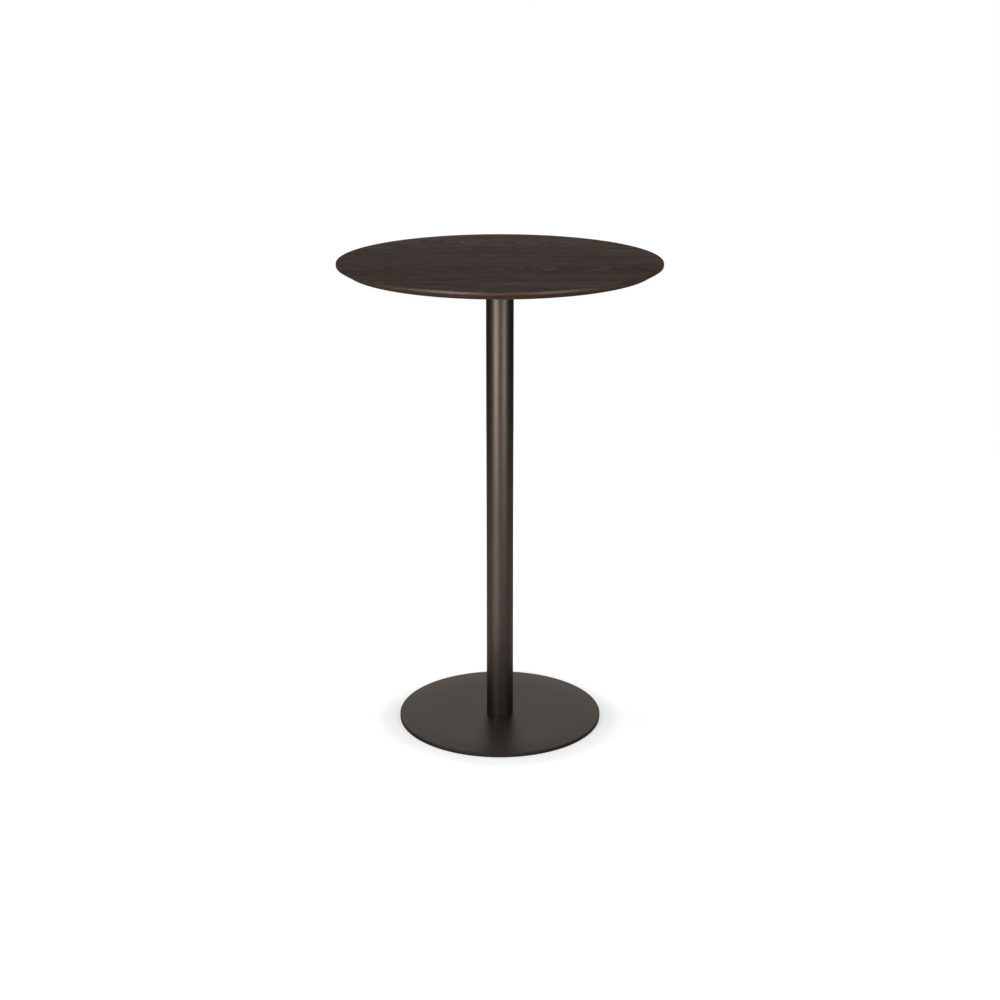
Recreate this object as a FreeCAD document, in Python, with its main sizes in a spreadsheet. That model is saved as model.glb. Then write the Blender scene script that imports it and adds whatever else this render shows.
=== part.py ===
import FreeCAD, Part
import math
import os
import Sketcher

# Round bar table: a veneered oak top with a bevelled edge, carried by one steel tube that a tie rod
# clamps between a top plate and a flat round base plate.
# Millimetres. +Z is up and the origin is on the floor under the middle of the top.
# +X runs along the grain of the top and -Y is the front.

doc = FreeCAD.newDocument("bar_table")
sheet = doc.addObject("Spreadsheet::Sheet", "Sizes")

lengths = {
    # The whole table
    "table_height": 1050.0,
    # Tabletop: board core, solid oak edge, veneer above and below
    "top_diameter": 700.0,
    "top_thickness": 19.0,
    "veneer_thickness": 0.6,
    "lipping_width": 30.0,
    "nose_height": 6.0,
    "bevel_width": 22.0,
    "arris_chamfer": 1.2,
    # Steel plate under the top
    "plate_diameter": 300.0,
    "plate_thickness": 5.0,
    "plate_chamfer": 1.0,
    # Hexagon screws and washers that hold the top to its plate, and their inserts in the board
    "fixing_inset": 20.0,
    "fixing_diameter": 6.0,
    "fixing_length": 16.0,
    "fixing_head_flats": 10.0,
    "fixing_head_height": 4.0,
    "washer_diameter": 12.0,
    "washer_thickness": 1.6,
    "insert_diameter": 9.5,
    "insert_length": 12.0,
    # Column tube
    "column_diameter": 60.0,
    "column_wall": 2.0,
    # Turned spigots that centre the tube, one under the top plate and one on the base plate
    "head_spigot_height": 25.0,
    "head_pocket_diameter": 28.0,
    "head_pocket_depth": 15.0,
    "foot_spigot_height": 22.0,
    "spigot_lead": 2.0,
    # Countersunk socket screws through each plate into its spigot
    "head_screw_circle": 42.0,
    "head_screw_diameter": 6.0,
    "head_screw_length": 18.0,
    "head_screw_head": 11.0,
    "head_screw_socket": 4.0,
    "foot_screw_circle": 36.0,
    "foot_screw_diameter": 8.0,
    "foot_screw_length": 22.0,
    "foot_screw_head": 15.5,
    "foot_screw_socket": 5.0,
    # Tie rod, its nut and washer
    "rod_diameter": 12.0,
    "rod_lift": 2.0,
    "rod_over_nut": 2.5,
    "rod_chamfer": 1.2,
    "nut_across_flats": 19.0,
    "nut_height": 10.0,
    "nut_corner_drop": 3.0,
    "rod_washer_diameter": 24.0,
    "rod_washer_thickness": 2.5,
    # Flat base plate
    "base_diameter": 455.0,
    "base_thickness": 8.0,
    "base_chamfer": 1.0,
    # Disc glides stuck into shallow turned seats under the base plate
    "glide_inset": 22.5,
    "glide_diameter": 25.0,
    "glide_proud": 1.0,
    "glide_seat_depth": 1.5,
    "glide_chamfer": 0.5,
    # Running clearances on the radius, and room at the end of a blind hole
    "thread_gap": 0.1,
    "hole_gap": 0.4,
    "spigot_gap": 0.2,
    "seat_gap": 0.2,
    "blind_room": 2.0,
}

counts = {
    "fixing_count": 4,
    "head_screw_count": 3,
    "foot_screw_count": 3,
    "glide_count": 6,
}

# How deep a countersunk screw's socket goes, as a share of its head's cone.
socket_depth_share = 0.75

FULL_TURN = 360
HEX_SIDES = 6
ZERO_TOLERANCE = 1e-9


class Size:
    """A number together with the spreadsheet expression that gives it."""

    def __init__(self, value, text):
        self.value = value
        self.text = text

    def __add__(self, other):
        return combine(self, other, self.value + as_size(other).value, "+")

    def __sub__(self, other):
        return combine(self, other, self.value - as_size(other).value, "-")

    def __mul__(self, other):
        return combine(self, other, self.value * as_size(other).value, "*")

    def __truediv__(self, other):
        return combine(self, other, self.value / as_size(other).value, "/")


def as_size(number):
    """A plain number as a size that depends on no cell."""
    return number if isinstance(number, Size) else Size(number, "(%.12g)" % number)


def combine(left, right, value, sign):
    """The size that two sizes give with a sign between them."""
    return Size(value, "(%s %s %s)" % (left.text, sign, as_size(right).text))


def read_sheet(values):
    """Writes the values into the next rows of the sheet, each with its alias, and returns them as sizes."""
    first_row = len(aliases) + 1
    for row, (alias, value) in enumerate(values.items(), start=first_row):
        sheet.set("A%d" % row, alias)
        sheet.set("B%d" % row, str(value))
        sheet.setAlias("B%d" % row, alias)
        aliases[alias] = Size(value, "Sizes." + alias)
    doc.recompute()


aliases = {}
read_sheet(lengths)
read_sheet(counts)

NOTHING = Size(0, "0")
pieces = []


# Heights of the faces where the parts of the table meet

BASE_UNDERSIDE = aliases["glide_proud"]
BASE_TOP = BASE_UNDERSIDE + aliases["base_thickness"]
TOP_UNDERSIDE = aliases["table_height"] - aliases["top_thickness"]
PLATE_UNDERSIDE = TOP_UNDERSIDE - aliases["plate_thickness"]
POCKET_FLOOR = PLATE_UNDERSIDE - aliases["head_pocket_depth"]

# Radii of the circles on which the top's fixings and the glides stand

FIXING_RADIUS = aliases["plate_diameter"] / 2 - aliases["fixing_inset"]
GLIDE_RADIUS = aliases["base_diameter"] / 2 - aliases["glide_inset"]


# Ways of making a piece that more than one piece uses


def new_body(name, height):
    """An empty body at a height above the floor, listed as a piece of the table."""
    body = doc.addObject("PartDesign::Body", name)
    body.Label = name
    body.Placement = FreeCAD.Placement(FreeCAD.Vector(0, 0, height.value), FreeCAD.Rotation())
    body.setExpression("Placement.Base.z", height.text)
    pieces.append(body)
    return body


def origin_feature(body, role):
    """One of the body's own origin planes or axes."""
    return next(item for item in body.Origin.OriginFeatures if item.Role == role)


def new_sketch(body, role, name):
    """A sketch on one of the body's origin planes."""
    sketch = body.newObject("Sketcher::SketchObject", name)
    sketch.AttachmentSupport = [(origin_feature(body, role), "")]
    sketch.MapMode = "FlatFace"
    return sketch


def pin(sketch, edge, end, direction, size):
    """Ties one coordinate of an edge's end to a size."""
    if abs(size.value) < ZERO_TOLERANCE:
        axis = -2 if direction == "DistanceX" else -1
        sketch.addConstraint(Sketcher.Constraint("PointOnObject", edge, end, axis))
        return
    index = sketch.addConstraint(Sketcher.Constraint(direction, -1, 1, edge, end, size.value))
    sketch.setExpression("Constraints[%d]" % index, size.text)


def draw_outline(sketch, corners):
    """Draws a closed outline through corners of (across, up) and ties each corner to its sizes."""
    first = sketch.GeometryCount
    count = len(corners)
    points = [FreeCAD.Vector(across.value, up.value, 0) for across, up in corners]
    for k in range(count):
        sketch.addGeometry(Part.LineSegment(points[k], points[(k + 1) % count]))
    for k, (across, up) in enumerate(corners):
        after = first + (k + 1) % count
        sketch.addConstraint(Sketcher.Constraint("Coincident", first + k, 2, after, 1))
        pin(sketch, first + k, 1, "DistanceX", across)
        pin(sketch, first + k, 1, "DistanceY", up)


def turn(body, kind, name, corners, offset=NOTHING):
    """Turns an outline about an upright axis that stands at the offset from the table's axis."""
    sketch = new_sketch(body, "XZ_Plane", name + "_outline")
    draw_outline(sketch, [(offset + across, up) for across, up in corners])
    axis_name = "V_Axis"
    if offset is not NOTHING:
        heights = sorted((up for across, up in corners), key=lambda size: size.value)
        low = heights[0]
        high = heights[-1]
        ends = [FreeCAD.Vector(offset.value, size.value, 0) for size in (low, high)]
        axis_line = sketch.addGeometry(Part.LineSegment(ends[0], ends[1]), True)
        for end, size in ((1, low), (2, high)):
            pin(sketch, axis_line, end, "DistanceX", offset)
            pin(sketch, axis_line, end, "DistanceY", size)
        axis_name = "Axis0"
    feature = body.newObject("PartDesign::" + kind, name)
    feature.Profile = sketch
    feature.ReferenceAxis = (sketch, [axis_name])
    feature.Angle = FULL_TURN
    return feature


def hex_outline(sketch, across_flats, offset=NOTHING):
    """Draws a regular hexagon about a point at the offset along X."""
    radius = across_flats / math.sqrt(3)
    corners = []
    for k in range(HEX_SIDES):
        angle = 2 * math.pi * k / HEX_SIDES
        corners.append((offset + radius * math.cos(angle), radius * math.sin(angle)))
    draw_outline(sketch, corners)


def hex_socket(body, name, across_flats, mouth, depth, offset, upward):
    """Sinks a hexagon socket into a screw's head, upward or downward from its mouth."""
    sketch = new_sketch(body, "XY_Plane", name + "_outline")
    sketch.AttachmentOffset = FreeCAD.Placement(FreeCAD.Vector(0, 0, mouth.value), FreeCAD.Rotation())
    sketch.setExpression("AttachmentOffset.Base.z", mouth.text)
    hex_outline(sketch, across_flats, offset)
    pocket = body.newObject("PartDesign::Pocket", name)
    pocket.Profile = sketch
    pocket.Length = depth.value
    pocket.setExpression("Length", depth.text)
    pocket.Reversed = upward
    return pocket


def ring_of(body, name, features, count_alias):
    """Repeats features evenly about the table's axis."""
    doc.recompute()
    pattern = body.newObject("PartDesign::PolarPattern", name)
    pattern.Originals = features
    pattern.Axis = (origin_feature(body, "Z_Axis"), [""])
    pattern.Angle = FULL_TURN
    pattern.Occurrences = counts[count_alias]
    pattern.setExpression("Occurrences", "Sizes." + count_alias)
    body.Tip = pattern


def cylinder_outline(radius, low, high):
    """The half outline of a solid cylinder."""
    return [(NOTHING, low), (radius, low), (radius, high), (NOTHING, high)]


def ring_outline(inner, outer, low, high):
    """The half outline of a ring of rectangular section."""
    return [(inner, low), (outer, low), (outer, high), (inner, high)]


# Tabletop


def make_core_board():
    """Board core of the top, with blind seats for the threaded inserts bored from below."""
    s = aliases
    thickness = s["top_thickness"] - s["veneer_thickness"] * 2
    radius = s["top_diameter"] / 2 - s["lipping_width"]
    body = new_body("core_board", TOP_UNDERSIDE + s["veneer_thickness"])
    turn(body, "Revolution", "board", cylinder_outline(radius, NOTHING, thickness))
    depth = s["insert_length"] - s["veneer_thickness"] + s["seat_gap"]
    seat = cylinder_outline(s["insert_diameter"] / 2 + s["thread_gap"], NOTHING, depth)
    bore = turn(body, "Groove", "insert_seat", seat, FIXING_RADIUS)
    ring_of(body, "insert_seats", [bore], "fixing_count")


def make_edge_lipping():
    """Solid oak ring round the board: a short upright nose over a wide bevel on the underside."""
    s = aliases
    outer = s["top_diameter"] / 2
    inner = outer - s["lipping_width"]
    height = s["top_thickness"] - s["veneer_thickness"] * 2
    nose_foot = s["top_thickness"] - s["nose_height"] - s["veneer_thickness"]
    nose_head = s["top_thickness"] - s["veneer_thickness"] - s["arris_chamfer"]
    body = new_body("edge_lipping", TOP_UNDERSIDE + s["veneer_thickness"])
    corners = [
        (inner, NOTHING),
        (bevel_foot_radius(), NOTHING),
        (outer, nose_foot),
        (outer, nose_head),
        (veneer_edge_radius(), height),
        (inner, height),
    ]
    turn(body, "Revolution", "lipping", corners)


def bevel_foot_radius():
    """The radius at which the bevel meets the upper face of the backing veneer."""
    s = aliases
    drop = s["top_thickness"] - s["nose_height"]
    left = (drop - s["veneer_thickness"]) / drop
    return s["top_diameter"] / 2 - s["bevel_width"] * left


def veneer_edge_radius():
    """The radius at which the eased top arris passes from the veneer into the solid edge."""
    s = aliases
    return s["top_diameter"] / 2 - s["arris_chamfer"] + s["veneer_thickness"]


def make_face_veneer():
    """Oak face veneer over board and solid edge, one pressed sheet whose rim is eased with the edge."""
    s = aliases
    thickness = s["veneer_thickness"]
    body = new_body("face_veneer", s["table_height"] - thickness)
    corners = [
        (NOTHING, NOTHING),
        (veneer_edge_radius(), NOTHING),
        (s["top_diameter"] / 2 - s["arris_chamfer"], thickness),
        (NOTHING, thickness),
    ]
    turn(body, "Revolution", "veneer_sheet", corners)


def make_backing_veneer():
    """Plain backing veneer on the flat of the underside, pierced where the inserts come through."""
    s = aliases
    outer = s["top_diameter"] / 2 - s["bevel_width"]
    body = new_body("backing_veneer", TOP_UNDERSIDE)
    corners = [
        (NOTHING, NOTHING),
        (outer, NOTHING),
        (bevel_foot_radius(), s["veneer_thickness"]),
        (NOTHING, s["veneer_thickness"]),
    ]
    turn(body, "Revolution", "backing", corners)
    hole = cylinder_outline(s["insert_diameter"] / 2 + s["thread_gap"], NOTHING, s["veneer_thickness"])
    bore = turn(body, "Groove", "insert_hole", hole, FIXING_RADIUS)
    ring_of(body, "insert_holes", [bore], "fixing_count")


def make_threaded_inserts():
    """Brass inserts screwed into the board, flush with the underside."""
    s = aliases
    bore = s["fixing_diameter"] / 2 + s["thread_gap"]
    body = new_body("threaded_inserts", TOP_UNDERSIDE)
    sleeve = ring_outline(bore, s["insert_diameter"] / 2, NOTHING, s["insert_length"])
    insert = turn(body, "Revolution", "insert", sleeve, FIXING_RADIUS)
    ring_of(body, "inserts", [insert], "fixing_count")


# Plate under the top and what fastens it


def make_top_plate():
    """Round steel plate screwed up under the top and down onto the head spigot."""
    s = aliases
    radius = s["plate_diameter"] / 2
    inner = s["head_pocket_diameter"] / 2
    body = new_body("top_plate", PLATE_UNDERSIDE)
    corners = [
        (inner, NOTHING),
        (radius - s["plate_chamfer"], NOTHING),
        (radius, s["plate_chamfer"]),
        (radius, s["plate_thickness"]),
        (inner, s["plate_thickness"]),
    ]
    turn(body, "Revolution", "plate", corners)
    hole = cylinder_outline(s["fixing_diameter"] / 2 + s["hole_gap"], NOTHING, s["plate_thickness"])
    fixing = turn(body, "Groove", "fixing_hole", hole, FIXING_RADIUS)
    ring_of(body, "fixing_holes", [fixing], "fixing_count")
    sink = countersunk_hole("head_screw", NOTHING, s["plate_thickness"], upward=True)
    seat = turn(body, "Groove", "spigot_hole", sink, s["head_screw_circle"] / 2)
    ring_of(body, "spigot_holes", [seat], "head_screw_count")


def countersunk_hole(screw, low, high, upward):
    """The half outline of a countersunk hole through a plate, its wide mouth at the top or the bottom."""
    s = aliases
    shank = s[screw + "_diameter"] / 2 + s["hole_gap"]
    head = s[screw + "_head"] / 2 + s["hole_gap"]
    cone = head - shank
    if upward:
        return [(NOTHING, low), (shank, low), (shank, high - cone), (head, high), (NOTHING, high)]
    return [(NOTHING, low), (head, low), (shank, low + cone), (shank, high), (NOTHING, high)]


def make_plate_screws():
    """Hexagon screws up through the plate into the inserts."""
    s = aliases
    head = s["fixing_head_height"]
    body = new_body("plate_screws", PLATE_UNDERSIDE - s["washer_thickness"] - head)
    sketch = new_sketch(body, "XY_Plane", "plate_screw_head_outline")
    hex_outline(sketch, s["fixing_head_flats"], FIXING_RADIUS)
    hexagon = pad_of(body, "plate_screw_head", sketch, head)
    doc.recompute()
    shank = cylinder_outline(s["fixing_diameter"] / 2, NOTHING, head + s["fixing_length"])
    screw = turn(body, "Revolution", "plate_screw", shank, FIXING_RADIUS)
    ring_of(body, "plate_screws_ring", [hexagon, screw], "fixing_count")


def pad_of(body, name, sketch, height):
    """Raises a sketch to a height."""
    pad = body.newObject("PartDesign::Pad", name)
    pad.Profile = sketch
    pad.Length = height.value
    pad.setExpression("Length", height.text)
    return pad


def make_plate_washers():
    """Flat washers between the plate and the heads of its screws."""
    s = aliases
    inner = s["fixing_diameter"] / 2 + s["seat_gap"]
    outer = s["washer_diameter"] / 2
    body = new_body("plate_washers", PLATE_UNDERSIDE - s["washer_thickness"])
    ring = ring_outline(inner, outer, NOTHING, s["washer_thickness"])
    washer = turn(body, "Revolution", "plate_washer", ring, FIXING_RADIUS)
    ring_of(body, "plate_washers_ring", [washer], "fixing_count")


# Head of the column


def spigot_radius():
    """The radius of both spigots, which slide into the tube."""
    s = aliases
    return s["column_diameter"] / 2 - s["column_wall"] - s["spigot_gap"]


def make_head_spigot():
    """Turned steel plug under the top plate, with a pocket for the nut and a lead at its lower edge."""
    s = aliases
    radius = spigot_radius()
    height = s["head_spigot_height"]
    pocket = s["head_pocket_diameter"] / 2
    bore = s["rod_diameter"] / 2 + s["hole_gap"]
    pocket_floor = height - s["head_pocket_depth"]
    body = new_body("head_spigot", PLATE_UNDERSIDE - height)
    corners = [
        (bore, NOTHING),
        (radius - s["spigot_lead"], NOTHING),
        (radius, s["spigot_lead"]),
        (radius, height),
        (pocket, height),
        (pocket, pocket_floor),
        (bore, pocket_floor),
    ]
    turn(body, "Revolution", "head_plug", corners)
    depth = s["head_screw_length"] - s["plate_thickness"] + s["blind_room"]
    tapped = cylinder_outline(s["head_screw_diameter"] / 2 + s["thread_gap"], height - depth, height)
    hole = turn(body, "Groove", "head_tapping", tapped, s["head_screw_circle"] / 2)
    ring_of(body, "head_tappings", [hole], "head_screw_count")


def countersunk_screw(body, name, screw, mouth, upward):
    """One countersunk socket screw: cone, shank and hexagon socket, head up or head down."""
    s = aliases
    head = s[screw + "_head"] / 2
    shank = s[screw + "_diameter"] / 2
    cone = head - shank
    length = s[screw + "_length"]
    offset = s[screw + "_circle"] / 2
    if upward:
        tip = mouth - length
        corners = [(NOTHING, tip), (shank, tip), (shank, mouth - cone), (head, mouth), (NOTHING, mouth)]
    else:
        tip = mouth + length
        corners = [(NOTHING, mouth), (head, mouth), (shank, mouth + cone), (shank, tip), (NOTHING, tip)]
    solid = turn(body, "Revolution", name, corners, offset)
    doc.recompute()
    depth = cone * socket_depth_share
    socket = hex_socket(body, name + "_socket", s[screw + "_socket"], mouth, depth, offset, not upward)
    return [solid, socket]


def make_head_screws():
    """Countersunk screws down through the top plate into the head spigot."""
    body = new_body("head_screws", TOP_UNDERSIDE - aliases["hole_gap"])
    features = countersunk_screw(body, "head_screw", "head_screw", NOTHING, upward=True)
    ring_of(body, "head_screws_ring", features, "head_screw_count")


def make_head_washer():
    """Washer under the tie rod's nut, on the floor of the head pocket."""
    s = aliases
    inner = s["rod_diameter"] / 2 + s["seat_gap"]
    body = new_body("head_washer", POCKET_FLOOR)
    ring = ring_outline(inner, s["rod_washer_diameter"] / 2, NOTHING, s["rod_washer_thickness"])
    turn(body, "Revolution", "rod_washer", ring)


def make_head_nut():
    """Hexagon nut that tightens the tie rod, with its upper corners turned off."""
    s = aliases
    height = s["nut_height"]
    body = new_body("head_nut", POCKET_FLOOR + s["rod_washer_thickness"])
    sketch = new_sketch(body, "XY_Plane", "nut_outline")
    hex_outline(sketch, s["nut_across_flats"])
    pad_of(body, "nut_blank", sketch, height)
    doc.recompute()
    bore = s["rod_diameter"] / 2 + s["thread_gap"]
    turn(body, "Groove", "nut_bore", cylinder_outline(bore, NOTHING, height))
    flat = s["nut_across_flats"] / 2
    beyond = s["nut_across_flats"]
    corners_off = [(flat, height), (beyond, height - s["nut_corner_drop"]), (beyond, height)]
    turn(body, "Groove", "nut_corners", corners_off)


# Column


def make_column_tube():
    """Round steel tube that stands on the base plate and carries the top plate."""
    s = aliases
    outer = s["column_diameter"] / 2
    body = new_body("column_tube", BASE_TOP)
    turn(body, "Revolution", "tube", ring_outline(outer - s["column_wall"], outer, NOTHING, column_length()))


def column_length():
    """The tube's length, from the base plate to the top plate."""
    return PLATE_UNDERSIDE - BASE_TOP


def make_tie_rod():
    """Rod screwed into the foot spigot, through the tube and up through the nut."""
    s = aliases
    start = BASE_TOP + s["rod_lift"]
    end = POCKET_FLOOR + s["rod_washer_thickness"] + s["nut_height"] + s["rod_over_nut"]
    radius = s["rod_diameter"] / 2
    length = end - start
    cut = s["rod_chamfer"]
    body = new_body("tie_rod", start)
    corners = [
        (NOTHING, NOTHING),
        (radius - cut, NOTHING),
        (radius, cut),
        (radius, length - cut),
        (radius - cut, length),
        (NOTHING, length),
    ]
    turn(body, "Revolution", "rod", corners)


# Foot


def make_foot_spigot():
    """Turned steel plug on the base plate, tapped for the rod, with a lead at its upper edge."""
    s = aliases
    radius = spigot_radius()
    height = s["foot_spigot_height"]
    bore = s["rod_diameter"] / 2 + s["thread_gap"]
    body = new_body("foot_spigot", BASE_TOP)
    corners = [
        (bore, NOTHING),
        (radius, NOTHING),
        (radius, height - s["spigot_lead"]),
        (radius - s["spigot_lead"], height),
        (bore, height),
    ]
    turn(body, "Revolution", "foot_plug", corners)
    depth = s["foot_screw_length"] - s["base_thickness"] + s["blind_room"]
    tapped = cylinder_outline(s["foot_screw_diameter"] / 2 + s["thread_gap"], NOTHING, depth)
    hole = turn(body, "Groove", "foot_tapping", tapped, s["foot_screw_circle"] / 2)
    ring_of(body, "foot_tappings", [hole], "foot_screw_count")


def make_foot_screws():
    """Countersunk screws up through the base plate into the foot spigot."""
    body = new_body("foot_screws", BASE_UNDERSIDE + aliases["hole_gap"])
    features = countersunk_screw(body, "foot_screw", "foot_screw", NOTHING, upward=False)
    ring_of(body, "foot_screws_ring", features, "foot_screw_count")


def make_base_plate():
    """Flat round steel base: chamfered rims, countersunk holes and shallow glide seats underneath."""
    s = aliases
    radius = s["base_diameter"] / 2
    thickness = s["base_thickness"]
    cut = s["base_chamfer"]
    body = new_body("base_plate", BASE_UNDERSIDE)
    corners = [
        (NOTHING, NOTHING),
        (radius - cut / 2, NOTHING),
        (radius, cut / 2),
        (radius, thickness - cut),
        (radius - cut, thickness),
        (NOTHING, thickness),
    ]
    turn(body, "Revolution", "base_disc", corners)
    sink = countersunk_hole("foot_screw", NOTHING, thickness, upward=False)
    screw_hole = turn(body, "Groove", "foot_hole", sink, s["foot_screw_circle"] / 2)
    ring_of(body, "foot_holes", [screw_hole], "foot_screw_count")
    seat = cylinder_outline(s["glide_diameter"] / 2 + s["seat_gap"], NOTHING, s["glide_seat_depth"])
    glide_seat = turn(body, "Groove", "glide_seat", seat, GLIDE_RADIUS)
    ring_of(body, "glide_seats", [glide_seat], "glide_count")


def make_floor_glides():
    """Plastic disc glides in the seats of the base plate, each with a chamfered lower edge."""
    s = aliases
    radius = s["glide_diameter"] / 2
    cut = s["glide_chamfer"]
    top = s["glide_proud"] + s["glide_seat_depth"]
    body = new_body("floor_glides", NOTHING)
    corners = [
        (NOTHING, NOTHING),
        (radius - cut, NOTHING),
        (radius, cut),
        (radius, top),
        (NOTHING, top),
    ]
    glide = turn(body, "Revolution", "floor_glide", corners, GLIDE_RADIUS)
    ring_of(body, "floor_glides_ring", [glide], "glide_count")


def check_document():
    """Stops if a feature failed or a piece isn't a sound solid."""
    for item in doc.Objects:
        if "Invalid" in item.State or "Error" in item.State:
            raise RuntimeError("%s failed: %s" % (item.Name, item.State))
    for piece in pieces:
        if piece.Shape.isNull() or not piece.Shape.isValid() or not piece.Shape.Solids:
            raise RuntimeError("%s has no sound solid" % piece.Label)


def export_pieces():
    """Writes each piece to its own file, named after it."""
    os.makedirs("parts", exist_ok=True)
    for piece in pieces:
        piece.Shape.exportStep("parts/%s.step" % piece.Label)
        solids = len(piece.Shape.Solids)
        print("%-18s %2d solids, %10.1f mm3" % (piece.Label, solids, piece.Shape.Volume))


make_core_board()
make_edge_lipping()
make_face_veneer()
make_backing_veneer()
make_threaded_inserts()
make_top_plate()
make_plate_screws()
make_plate_washers()
make_head_spigot()
make_head_screws()
make_head_washer()
make_head_nut()
make_column_tube()
make_tie_rod()
make_foot_spigot()
make_foot_screws()
make_base_plate()
make_floor_glides()
doc.recompute()
check_document()
export_pieces()
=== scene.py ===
import math
import bmesh
import bpy
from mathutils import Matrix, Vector


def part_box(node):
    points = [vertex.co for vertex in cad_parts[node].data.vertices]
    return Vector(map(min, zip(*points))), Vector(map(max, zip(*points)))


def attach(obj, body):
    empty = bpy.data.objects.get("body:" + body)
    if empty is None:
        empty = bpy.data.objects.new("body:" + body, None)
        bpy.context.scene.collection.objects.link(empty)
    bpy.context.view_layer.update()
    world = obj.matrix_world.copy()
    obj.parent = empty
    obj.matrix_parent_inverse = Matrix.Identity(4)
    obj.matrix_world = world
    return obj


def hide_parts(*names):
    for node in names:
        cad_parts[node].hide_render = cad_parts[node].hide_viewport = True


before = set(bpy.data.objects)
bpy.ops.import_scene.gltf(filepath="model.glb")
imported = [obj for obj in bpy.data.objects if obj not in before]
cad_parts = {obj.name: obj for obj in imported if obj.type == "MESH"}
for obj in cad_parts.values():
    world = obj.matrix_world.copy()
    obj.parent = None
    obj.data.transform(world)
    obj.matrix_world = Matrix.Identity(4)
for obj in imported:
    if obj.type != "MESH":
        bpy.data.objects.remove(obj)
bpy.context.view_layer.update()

# Base plate.
# A laser-cut disc of 8 mm steel, its rims eased and the whole disc powder coated in a dark bronze.
# It lies on six glides and takes three countersunk screws up into the spigot of the column.

MM = 0.001
TURN = 2 * math.pi
base_low, base_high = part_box("base_plate")
BASE_RADIUS = -base_low.x
BASE_RIM_ROUND = 1.2 * MM
BASE_UNDER_ROUND = 0.6 * MM
UNDER_RING_SHARE = 0.6
UPPER_RING_SHARES = (0.7, 0.3)
ROUND_STEPS = 5
WIDE_SEGMENTS = 288
HOLE_SEGMENTS = 48
SMOOTH_ANGLE = 28

glide_low, glide_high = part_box("floor_glides")
GLIDE_COUNT = 6
GLIDE_RADIUS = 12.5 * MM
GLIDE_CIRCLE = glide_high.x - GLIDE_RADIUS
GLIDE_SEAT_GAP = 0.2 * MM
FOOT_SCREW_COUNT = 3
FOOT_SCREW_HEAD = 7.75 * MM
FOOT_SCREW_SHANK = 4 * MM
FOOT_SCREW_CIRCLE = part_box("foot_screws")[1].x - FOOT_SCREW_HEAD
FOOT_HOLE_GAP = 0.4 * MM
FOOT_HOLE_SKIN = 1 * MM
OVERRUN = 1 * MM

BRONZE = (0.066, 0.052, 0.0448)
BRONZE_PALE = (0.079, 0.0635, 0.0550)
BRONZE_ROUGHNESS = 0.38
COAT_RELIEF = 0.02 * MM
CLOUD = {"scale": 9, "detail": 3}
PEEL = {"scale": 520, "rough": 0.45}
FLAKE = {"scale": 2600, "detail": 1, "rough": 0.7}
FLAKE_SPAN = (0.56, 0.72)
CLOUD_PALE_SHARE = 0.7
FLAKE_PALE_SHARE = 0.5
CLOUD_ROUGHNESS = 0.08
PEEL_ROUGHNESS = 0.04
FLAKE_RELIEF_SHARE = 0.25
# Painted shade: near a rim the coat's colour is darkened towards black, and its roughness rises.
RIM_SHADE_DEPTH = 1.6 * MM
RIM_SHADE_FADE_SHARE = 0.3
PAINTED_RIM_SHADE = 0.5
RIM_ROUGHNESS = 0.2
NO_RIM_SHADE = 9.0
BLACK = (0, 0, 0)


def arc(centre, radius, start, end, steps=ROUND_STEPS):
    """Points of a round corner from one angle to another, in degrees."""
    angles = [math.radians(start + (end - start) * k / steps) for k in range(steps + 1)]
    return [(centre[0] + radius * math.cos(a), centre[1] + radius * math.sin(a)) for a in angles]


def on_circle(radius, count, centre=(0, 0)):
    """Places evenly spaced on a circle, the first of them towards +X."""
    angles = [TURN * k / count for k in range(count)]
    return [(centre[0] + radius * math.cos(a), centre[1] + radius * math.sin(a)) for a in angles]


def new_object(name, data):
    """An object in the scene."""
    thing = bpy.data.objects.new(name, data)
    bpy.context.scene.collection.objects.link(thing)
    return thing


def new_piece(name, bm):
    """An object whose mesh is the finished bmesh."""
    mesh = bpy.data.meshes.new(name)
    bm.to_mesh(mesh)
    bm.free()
    return new_object(name, mesh)


def turned(name, outline, segments, centre=(0, 0), closed=False):
    """A mesh turned about an upright axis, from an outline of (radius, height) points."""
    bm = bmesh.new()
    rings = []
    for radius, height in outline:
        places = on_circle(radius, segments, centre) if radius else [centre]
        rings.append([bm.verts.new((*place, height)) for place in places])
    pairs = list(zip(rings, rings[1:]))
    if closed:
        pairs.append((rings[-1], rings[0]))
    for lower, upper in pairs:
        for k in range(segments):
            after = (k + 1) % segments
            if len(lower) == 1:
                bm.faces.new((lower[0], upper[after], upper[k]))
            elif len(upper) == 1:
                bm.faces.new((lower[k], lower[after], upper[0]))
            else:
                bm.faces.new((lower[k], lower[after], upper[after], upper[k]))
    bmesh.ops.recalc_face_normals(bm, faces=bm.faces)
    return new_piece(name, bm)


def shade(piece):
    """Smooths the faces that meet at a small angle and keeps the sharper edges."""
    piece.data.shade_smooth()
    piece.data.set_sharp_from_angle(angle=math.radians(SMOOTH_ANGLE))


def cut(piece, cutters):
    """Takes the cutters' shapes out of the piece and removes the cutters."""
    for cutter in cutters:
        tool = piece.modifiers.new("cut", "BOOLEAN")
        tool.operation = "DIFFERENCE"
        tool.solver = "EXACT"
        tool.object = cutter
    graph = bpy.context.evaluated_depsgraph_get()
    piece.data = bpy.data.meshes.new_from_object(piece.evaluated_get(graph))
    piece.modifiers.clear()
    for cutter in cutters:
        bpy.data.objects.remove(cutter)


def feed(tree, node, values):
    """Links or sets a node's inputs, each by its name or number."""
    for key, value in values.items():
        if isinstance(value, bpy.types.NodeSocket):
            tree.links.new(value, node.inputs[key])
        else:
            node.inputs[key].default_value = value


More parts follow.
